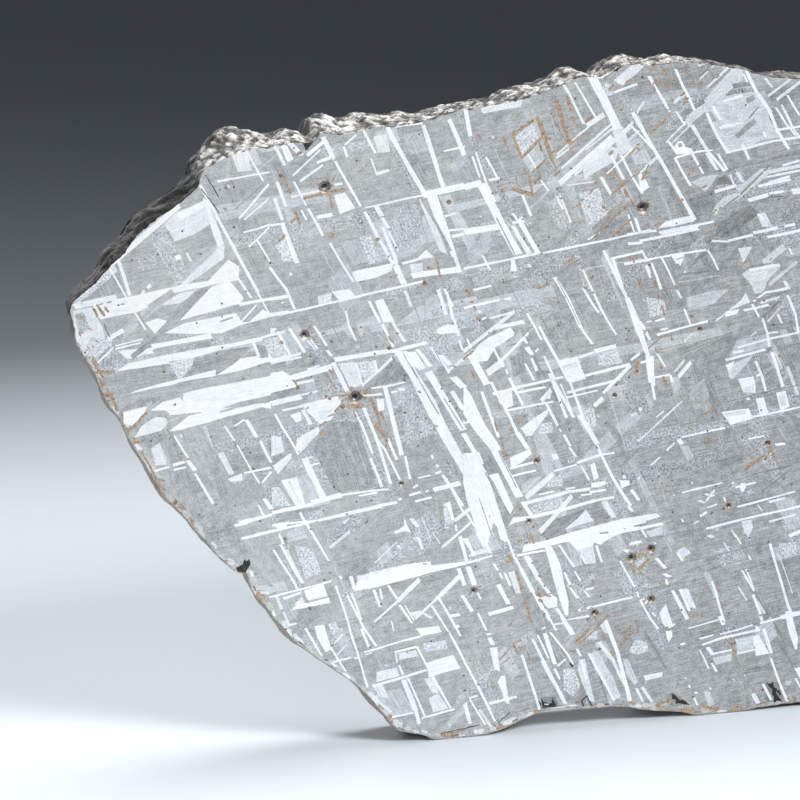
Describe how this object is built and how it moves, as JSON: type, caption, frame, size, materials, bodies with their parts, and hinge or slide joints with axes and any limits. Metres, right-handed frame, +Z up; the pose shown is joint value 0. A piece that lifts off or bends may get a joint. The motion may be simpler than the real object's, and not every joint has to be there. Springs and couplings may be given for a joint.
{
  "type": "iron meteorite slice",
  "caption": "Slab of iron meteorite, sawn flat and etched on both faces, with a rough natural rim, standing on its lower edge.",
  "frame": {"origin": "on the surface that the slice stands on, under the middle of its box", "axes": "+X along the slice to the right, +Y through its thickness from the front sawn face to the back one, +Z up"},
  "size_m": [0.184, 0.01, 0.1114],
  "materials": {
    "nickel_iron": "sawn, polished and acid-etched faces, dark grainy natural rind round the rim"
  },
  "bodies": {
    "root": {"meteorite_slice": "nickel_iron"}
  },
  "joints": []
}
